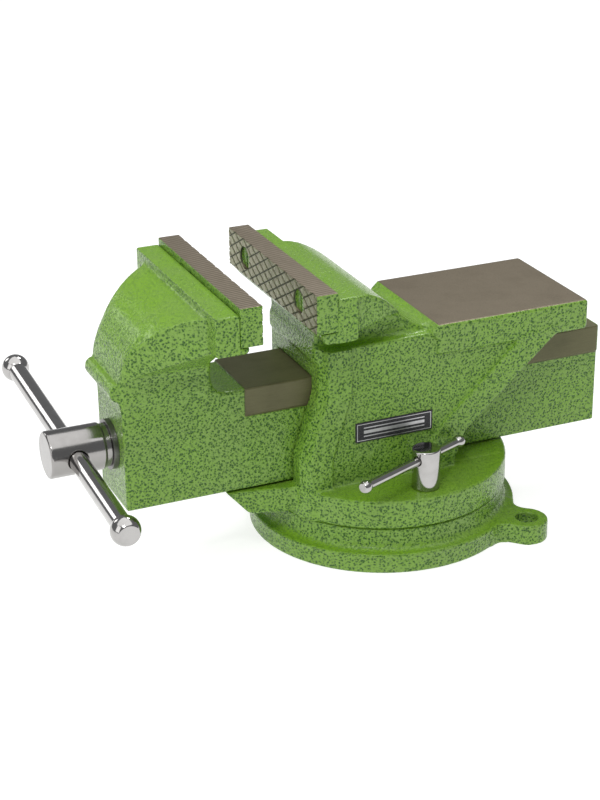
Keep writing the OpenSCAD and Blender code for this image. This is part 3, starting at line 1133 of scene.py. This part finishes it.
@dataclass
class JawPlate:
    """A jaw plate with a diamond-cut face."""

    node: str
    body: str
    face: float
    outward: int
    bottom: float = 174.3
    height: float = 26.2
    thick: float = 15
    width: float = 150
    screw_y: float = 46
    lean: float = 62
    groove_pitch: float = 14.6
    groove_y: float = 4.2
    depth: float = 0.75
    pitch: float = 0.6

    def shape(self) -> Solid:
        """The plate; outward is -1 where its face looks towards -X.

        Returns:
            The solid.
        """
        back = self.face - self.outward * self.thick
        low, high = sorted((self.face, back))
        middle = self.bottom + self.height / 2
        plate = brick((low, -self.width / 2, self.bottom),
                      (high, self.width / 2, self.bottom + self.height), 0.6)
        for lean in (-self.lean, self.lean):
            plate = plate.cut(self._grooves(lean), 0.15)
        for side in (-1, 1):
            at = (side * self.screw_y, middle)
            plate = plate.cut(rod(Axis.X, at, 4.3, low - 5, high + 5), 0.2)
            plate = plate.cut(self._seat(at), 0.3)
        return plate

    def _grooves(self, lean: float) -> Solid:
        """One family of grooves; the two families cross on the plate's top edge.

        Args:
            lean: Their angle from the upright.

        Returns:
            The solid that is cut away.
        """
        c, s = math.cos(math.radians(lean)), math.sin(math.radians(lean))
        gap = self.groove_pitch * abs(c)

        def distance(x: np.ndarray, y: np.ndarray, z: np.ndarray) -> np.ndarray:
            """Distance to the nearest groove's walls.

            Args:
                x: First coordinate of the points.
                y: Second coordinate.
                z: Third coordinate.

            Returns:
                The distance, negative inside.
            """
            across = (y - self.groove_y) * c + (z - self.bottom - self.height) * s
            off = np.abs(across - gap * np.round(across / gap))
            under = (self.face - x) * self.outward
            return (off + under - self.depth) * 0.707

        return Solid(distance)

    def _seat(self, at: tuple[float, float]) -> Solid:
        """The countersink of a screw.

        Args:
            at: Its place in Y and Z.

        Returns:
            The solid that is cut away.
        """

        def distance(x: np.ndarray, y: np.ndarray, z: np.ndarray) -> np.ndarray:
            """Distance to the countersink's wall and cone.

            Args:
                x: First coordinate of the points.
                y: Second coordinate.
                z: Third coordinate.

            Returns:
                The distance, negative inside.
            """
            radius = np.hypot(y - at[0], z - at[1])
            under = (self.face - x) * self.outward
            return np.maximum(radius - 7.8, (radius + under - 10.8) * 0.707)

        return Solid(distance)

    def material(self) -> bpy.types.Material:
        """Bare on top, worn paint on the cut face with painted shade in its grooves, and full paint on
        the ends.

        Returns:
            The material.
        """
        bench = Bench(self.node + "_finish")
        x, y, _ = bench.place()
        paint = HammerPaint().layer(bench)
        iron = BareIron(run=(1.5, 4, 1)).layer(bench)
        level = bench.step(bench.facing()[2], 0.6, 0.9)
        mills = bench.node("ShaderNodeMath", {"operation": "SINE"}, {0: (x * 1.6 + y) * 1.1})
        marks = bench.step(mills * 0.5 + 0.5 * bench.grain(6, 2, (1, 3, 1)), 0.2, 0.9)
        iron.color = bench.mix(marks * 0.55, iron.color, rgb(0.5, 0.42, 0.34))
        inward = (self.face - x) * self.outward
        worn = bench.step(bench.grain(3, 3), 0.3, 0.62)
        # Painted shade: below the crests the knurl's grooves are coloured near-black, standing in for
        # the shade in them.
        crest = 1 - bench.step(inward, 0.05, 0.6)
        grey = Layer(rgb(0.27, 0.29, 0.16), 0.36, 0.4, iron.height)
        # This near-black layer is the painted shade in the grooves.
        dark = Layer(rgb(0.05, 0.06, 0.03), 0.6, 0.1, 0.0)
        cut = bench.over(crest, dark, bench.over(worn * 0.6, grey, iron))
        front = 1 - bench.step(inward, 1.2, 1.6)
        layer = bench.over(front, paint, cut)
        layer = bench.over(bench.step(abs(y), self.width / 2 - 0.5, self.width / 2 - 0.1), layer,
                           paint)
        return bench.finish(bench.over(level, layer, iron))

    def build(self) -> None:
        """Makes and dresses the plate."""
        piece = cast(self.node + "_cut", self.shape(), self.node, self.pitch)
        dress(piece, self.material())
        fit(piece, self.body, "machined_iron", self.node)


# ---------------------------------------------------------------- screw, handle and locks


@dataclass
class Screw:
    """The spindle with its chromed head and its spring."""

    axis_z: float = 91
    radius: float = 12
    depth: float = 2.4
    lead: float = 6
    head_r: float = 15.8
    head_x: tuple[float, float] = (-240.5, -199.2)
    handle_x: float = -222.8
    handle_tilt: float = 3.4
    handle_shift: float = 12
    handle_r: float = 6.5
    handle_length: float = 242
    handle_knob: float = 9.7
    bore: float = 6.8
    thread_x: tuple[float, float] = (-150, 138.5)
    rear: float = 140

    def head(self) -> Solid:
        """The cross-bored head.

        Returns:
            The solid.
        """
        x0, x1 = self.head_x
        body = rod(Axis.X, (0, self.axis_z), self.head_r, x0, x1 - 4, 1.6)
        body = body.joined(rod(Axis.X, (0, self.axis_z), self.head_r - 1.2, x0 + 5, x1, 0.3), 0.4)
        c, s = math.cos(math.radians(self.handle_tilt)), math.sin(math.radians(self.handle_tilt))

        def hole(x: np.ndarray, y: np.ndarray, z: np.ndarray) -> np.ndarray:
            """Distance to the handle's bore."""
            return np.hypot(x - self.handle_x, (z - self.axis_z) * c - y * s) - self.bore

        return body.cut(Solid(hole), 0.7)

    def thread(self) -> bpy.types.Object:
        """The spindle's rod with a real trapezoidal thread.

        Returns:
            The new object.
        """
        x0, x1 = self.head_x[1] - 3, self.rear
        along = np.arange(x0, x1 + 0.01, 0.6)
        turns = np.linspace(0, 2 * math.pi, 60, endpoint=False)
        s, t = np.meshgrid(along, turns, indexing="ij")
        phase = np.mod(s - self.lead * t / (2 * math.pi), self.lead) / self.lead
        ramp = np.clip((np.abs(phase - 0.5) - 0.17) / 0.12, 0, 1)
        fade = np.clip((s - self.thread_x[0]) / 4, 0, 1)
        r = self.radius - self.depth * (1 - ramp) * fade
        r = np.minimum(r, self.radius - np.clip(s - self.thread_x[1], 0, 1.5))
        points = np.stack([s, r * np.cos(t), self.axis_z + r * np.sin(t)], axis=-1).reshape(-1, 3)
        n, m = s.shape
        i, j = np.meshgrid(np.arange(n - 1), np.arange(m), indexing="ij")
        a, b = (i * m + j).ravel(), (i * m + (j + 1) % m).ravel()
        faces = np.stack([a, a + m, b + m, b], axis=1).tolist()
        ends = np.array([[x0, 0, self.axis_z], [x1, 0, self.axis_z]])
        faces += [[n * m, (k + 1) % m, k] for k in range(m)]
        faces += [[n * m + 1, (n - 1) * m + k, (n - 1) * m + (k + 1) % m] for k in range(m)]
        faces = [list(reversed(f)) for f in faces]
        return add_mesh("spindle_thread", np.concatenate([points, ends]), faces)

    def spring(self) -> bpy.types.Object:
        """The spring behind the front wall, as one coil of wire.

        Returns:
            The new object.
        """
        low, high = (np.array(c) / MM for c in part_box("spindle_spring"))
        wire, turns = 1.25, 6.5
        radius = (high[1] - low[1]) / 2 - wire
        steps, sides = 260, 12
        t = np.linspace(0, 1, steps)
        around = 2 * math.pi * turns * t
        x = low[0] + wire + (high[0] - low[0] - 2 * wire) * t
        q = np.linspace(0, 2 * math.pi, sides, endpoint=False)
        out = radius + wire * np.cos(q)[None, :]
        points = np.stack([x[:, None] + wire * np.sin(q)[None, :] + 0 * out,
                           out * np.cos(around)[:, None],
                           self.axis_z + out * np.sin(around)[:, None]], axis=-1).reshape(-1, 3)
        faces = [[i * sides + k, i * sides + (k + 1) % sides, (i + 1) * sides + (k + 1) % sides,
                  (i + 1) * sides + k] for i in range(steps - 1) for k in range(sides)]
        faces += [list(range(sides))[::-1], [(steps - 1) * sides + k for k in range(sides)]]
        return add_mesh("spring_coil", points, faces)

    def build(self) -> None:
        """Makes and dresses the screw."""
        head = cast("head_turned", self.head(), "spindle_head", 0.5)
        dress(head, metal("head_chrome", Polished(rgb(0.35, 0.34, 0.33), rough=0.12, run=(0.5, 6, 6),
                                           lines=0.008)))
        fit(head, "screw", "bright_chrome", "spindle_head")
        steel = metal("screw_steel", Polished(rgb(0.5, 0.48, 0.46), rgb(0.25, 0.22, 0.19), 0.28,
                                              0.02, (0.4, 5, 5)))
        rod_piece = self.thread()
        dress(rod_piece, steel)
        fit(rod_piece, "screw", "steel", "spindle")
        coil = self.spring()
        dress(coil, steel)
        fit(coil, "screw", "steel", "spindle_spring")


@dataclass
class CrossBar:
    """A sliding bar with a swaged knob at each end."""

    name: str
    node: str
    body: str
    centre: tuple[float, float, float]
    direction: tuple[float, float, float]
    radius: float
    length: float
    knob: float

    def build(self, material: bpy.types.Material) -> None:
        """Makes and dresses the bar.

        Args:
            material: Its finish.
        """
        half, cut = self.length / 2, 0.72 * self.knob
        start = math.degrees(math.asin(self.radius / self.knob))
        flat = math.degrees(math.acos(cut / self.knob))
        ball = arc((half, 0), self.knob, 180 - start, flat, 14)
        tip = self.knob * math.sin(math.radians(flat))
        half_profile = [*ball, (half + cut, tip * 0.55), (half + cut, 0)]
        side = eased([(0, self.radius), *half_profile], self.radius * 0.12, 3)
        profile = [(-s, r) for s, r in reversed(side)] + side[1:]
        turn = Vector((0, 0, 1)).rotation_difference(Vector(self.direction)).to_matrix().to_4x4()
        piece = lathe(self.name, profile, Matrix.Translation(self.centre) @ turn, 64)
        dress(piece, material)
        fit(piece, self.body, "bright_chrome", self.node)


@dataclass
class SwivelLock:
    """One swivel lock: a bored nut and its bar. The side is -1 for the near one."""

    side: int
    place: str
    lock_r: float = 69.6
    radius: float = 9.6
    bottom: float = 50.5
    height: float = 28.5
    bar_z: float = 72
    bar_r: float = 3
    bar_angle: float = 22.8
    bar_shift: float = -13
    bar_length: float = 94
    knob: float = 4.4

    def heading(self) -> tuple[float, float, float]:
        """The direction of the bar, towards its inner end."""
        a = math.radians(self.bar_angle)
        return math.cos(a), -self.side * math.sin(a), 0

    def nut(self) -> Solid:
        """The nut with the bore of its bar.

        Returns:
            The solid.
        """
        cx, cy, _ = self.heading()
        y0 = self.side * self.lock_r
        body = rod(Axis.Z, (0, y0), self.radius, self.bottom, self.bottom + self.height, 1.1)

        def hole(x: np.ndarray, y: np.ndarray, z: np.ndarray) -> np.ndarray:
            """Distance to the lock bar's bore."""
            return np.hypot((y - y0) * cx - x * cy, z - self.bar_z) - self.bar_r - 0.3

        body = body.cut(Solid(hole), 0.5)
        return body.cut(rod(Axis.Z, (0, y0), 5.05, 40, 66.5), 0.3)

    def build(self, material: bpy.types.Material) -> None:
        """Makes and dresses the lock.

        Args:
            material: Its finish.
        """
        nut = cast(f"lock_{self.place}_turned", self.nut(), f"lock_nut_{self.place}", 0.45)
        dress(nut, material)
        fit(nut, f"lock_{self.place}", "bright_chrome", f"lock_nut_{self.place}")
        way = self.heading()
        centre = (self.bar_shift * way[0], self.side * self.lock_r + self.bar_shift * way[1],
                  self.bar_z)
        CrossBar(f"bar_{self.place}_turned", f"lock_bar_{self.place}", f"bar_{self.place}", centre,
                 way, self.bar_r, self.bar_length, self.knob).build(material)


@dataclass
class Nameplate:
    """The plate on the near side: black with a thin silver outline and plain silver bars."""

    inset: float = 1.1
    line: float = 0.4

    def build(self) -> None:
        """Makes and dresses the plate."""
        low, high = (np.array(c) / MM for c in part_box("nameplate"))
        plate = brick(tuple(low), tuple(high + np.array([0, 0.2, 0])), 0.3)
        piece = cast("nameplate_pressed", plate, "nameplate", 0.5)
        bench = Bench("nameplate_print")
        outer, inner = (bench.within((low[0] + d, None, low[2] + d),
                                     (high[0] - d, None, high[2] - d), 0.1)
                        for d in (self.inset, self.inset + self.line))
        rim = outer - inner
        middle = (low[2] + high[2]) / 2
        bars: Val | float = 0.0
        for shift, half in ((0, 1.1), (3.0, 0.35), (-3.0, 0.35)):
            bar = bench.within((low[0] + 6, None, middle + shift - half),
                               (high[0] - 6, None, middle + shift + half), 0.1)
            bars = bar if isinstance(bars, float) else bars | bar
        silver = Polished(rgb(0.55, 0.55, 0.56), rough=0.28).layer(bench)
        fine = bench.grain(0.8, 2)
        black = Layer(bench.mix(bench.step(fine, 0.4, 0.75), rgb(0.012, 0.012, 0.014),
                                rgb(0.05, 0.05, 0.055)), 0.34 + 0.1 * fine, 0.0, fine * 0.01)
        dress(piece, bench.finish(bench.over(rim | bars, black, silver)))
        fit(piece, "vise", "label", "nameplate")


# ---------------------------------------------------------------- studio


@dataclass
class Studio:
    """Floor, lights and camera."""

    target: tuple[float, float, float] = (-0.05995, 0.00261, 0.09576)
    azimuth: float = -23.11
    elevation: float = 23.74
    reach: float = 1.28333
    roll: float = -0.72
    lens: float = 113.1

    def floor(self) -> None:
        """The pale floor."""
        size = 9.0
        corners = np.array([(-size, -size, 0), (size, -size, 0), (size, size, 0),
                            (-size, size, 0)]) / MM
        ground = add_mesh("floor", corners, [[0, 1, 2, 3]])
        bench = Bench("floor_paper")
        fibre = bench.grain(6, 3)
        color = bench.mix(fibre * 0.3, rgb(0.44, 0.44, 0.44), rgb(0.4, 0.4, 0.4))
        sockets = bench.shader.inputs
        sockets["Emission Color"].default_value = rgb(1, 1, 1)
        sockets["Emission Strength"].default_value = 0.78
        dress(ground, bench.finish(Layer(color, 0.8 + 0.1 * fibre, 0.0, fibre * 0.02)))

    def light(self, name: str, at: tuple[float, float, float], size: tuple[float, float],
              power: float) -> None:
        """Adds a soft box that looks at the vise.

        Args:
            name: Its name.
            at: Its place in metres.
            size: Its width and height.
            power: Its power in watts.
        """
        data = bpy.data.lights.new(name, "AREA")
        data.shape, data.size, data.size_y, data.energy = "RECTANGLE", size[0], size[1], power
        lamp = bpy.data.objects.new(name, data)
        lamp.location = at
        lamp.rotation_euler = (Vector(self.target) - Vector(at)).to_track_quat("-Z", "Y").to_euler()
        bpy.context.scene.collection.objects.link(lamp)

    def camera(self) -> None:
        """The camera."""
        a, e, r = (math.radians(v) for v in (self.azimuth, self.elevation, self.roll))
        back = Vector((math.sin(a) * math.cos(e), -math.cos(a) * math.cos(e), math.sin(e)))
        right = Vector((math.cos(a), math.sin(a), 0))
        up = back.cross(right)
        side = right * math.cos(r) + up * math.sin(r)
        top = up * math.cos(r) - right * math.sin(r)
        data = bpy.data.cameras.new("camera")
        data.sensor_fit, data.sensor_width, data.lens = "HORIZONTAL", 36, self.lens
        data.clip_end = 50
        camera = bpy.data.objects.new("camera", data)
        turn = Matrix((side, top, back)).transposed().to_4x4()
        camera.matrix_world = Matrix.Translation(Vector(self.target) + back * self.reach) @ turn
        bpy.context.scene.collection.objects.link(camera)
        bpy.context.scene.camera = camera

    def build(self) -> None:
        """Sets the studio up."""
        self.floor()
        self.camera()
        self.light("top", (-0.25, -0.1, 1.7), (2.8, 2.4), 28)
        self.light("left", (-1.9, -0.4, 0.9), (1.0, 1.4), 7)
        self.light("key", (-0.9, -1.1, 1.9), (0.3, 0.3), 8)
        self.light("rim", (0.7, 0.9, 1.5), (0.4, 0.3), 7)
        self.light("strip", (-0.95, 1.6, 0.85), (0.45, 0.6), 2.4)
        world = bpy.data.worlds.new("studio")
        world.use_nodes = True
        glow = next(n for n in world.node_tree.nodes if n.type == "BACKGROUND")
        glow.inputs["Color"].default_value = rgb(0.95, 0.97, 1.0)
        glow.inputs["Strength"].default_value = 0.24
        scene = bpy.context.scene
        scene.world = world
        scene.view_settings.view_transform = "Standard"


def dress_frame(nodes: dict[str, bpy.types.Object]) -> None:
    """Gives the CAD nodes that stay their finishes.

    Args:
        nodes: The CAD nodes by name.
    """
    steel = metal("plain_steel", Polished(rgb(0.55, 0.54, 0.53), rgb(0.3, 0.27, 0.24), 0.26, 0.015))
    iron = metal("nut_iron", BareIron())
    paint = metal("screw_paint", HammerPaint())
    dull = metal("washer_dull", Polished(rgb(0.2, 0.195, 0.19), rgb(0.08, 0.075, 0.07), 0.3, 0.015))
    finishes = {"fixed_jaw_screws": paint, "moving_jaw_screws": paint, "spindle_nut": iron,
                "thrust_washer": dull}
    for name in ("thrust_washer", "retaining_collar", "collar_pin", "nut_bolts", "nut_washers",
                 "swivel_studs", "fixed_jaw_screws", "moving_jaw_screws", "spindle_nut"):
        dress(nodes[name], finishes.get(name, steel))
        LOG.info("%s keeps its CAD mesh", name)


def main() -> None:
    """Builds the whole scene."""
    logging.basicConfig(level=logging.INFO, format="%(message)s")
    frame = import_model()
    Studio().build()
    SwivelBase().build()
    ViseBody().build()
    MovingJaw().build()
    JawPlate("fixed_jaw_plate", "vise", FIXED_FACE, -1).build()
    JawPlate("moving_jaw_plate", "jaw", MOVING_FACE, 1).build()
    screw = Screw()
    screw.build()
    chrome = metal("bar_chrome", Polished(rough=0.07))
    tilt = math.radians(screw.handle_tilt)
    along = (0.0, math.cos(tilt), math.sin(tilt))
    shift = screw.handle_shift
    centre = (screw.handle_x, shift * along[1], screw.axis_z + shift * along[2])
    CrossBar("handle_turned", "handle_bar", "handle", centre, along, screw.handle_r,
             screw.handle_length, screw.handle_knob).build(chrome)
    for side, place in ((-1, "near"), (1, "far")):
        SwivelLock(side, place).build(chrome)
    Nameplate().build()
    dress_frame(frame["nodes"])


if __name__ == "__main__":
    main()
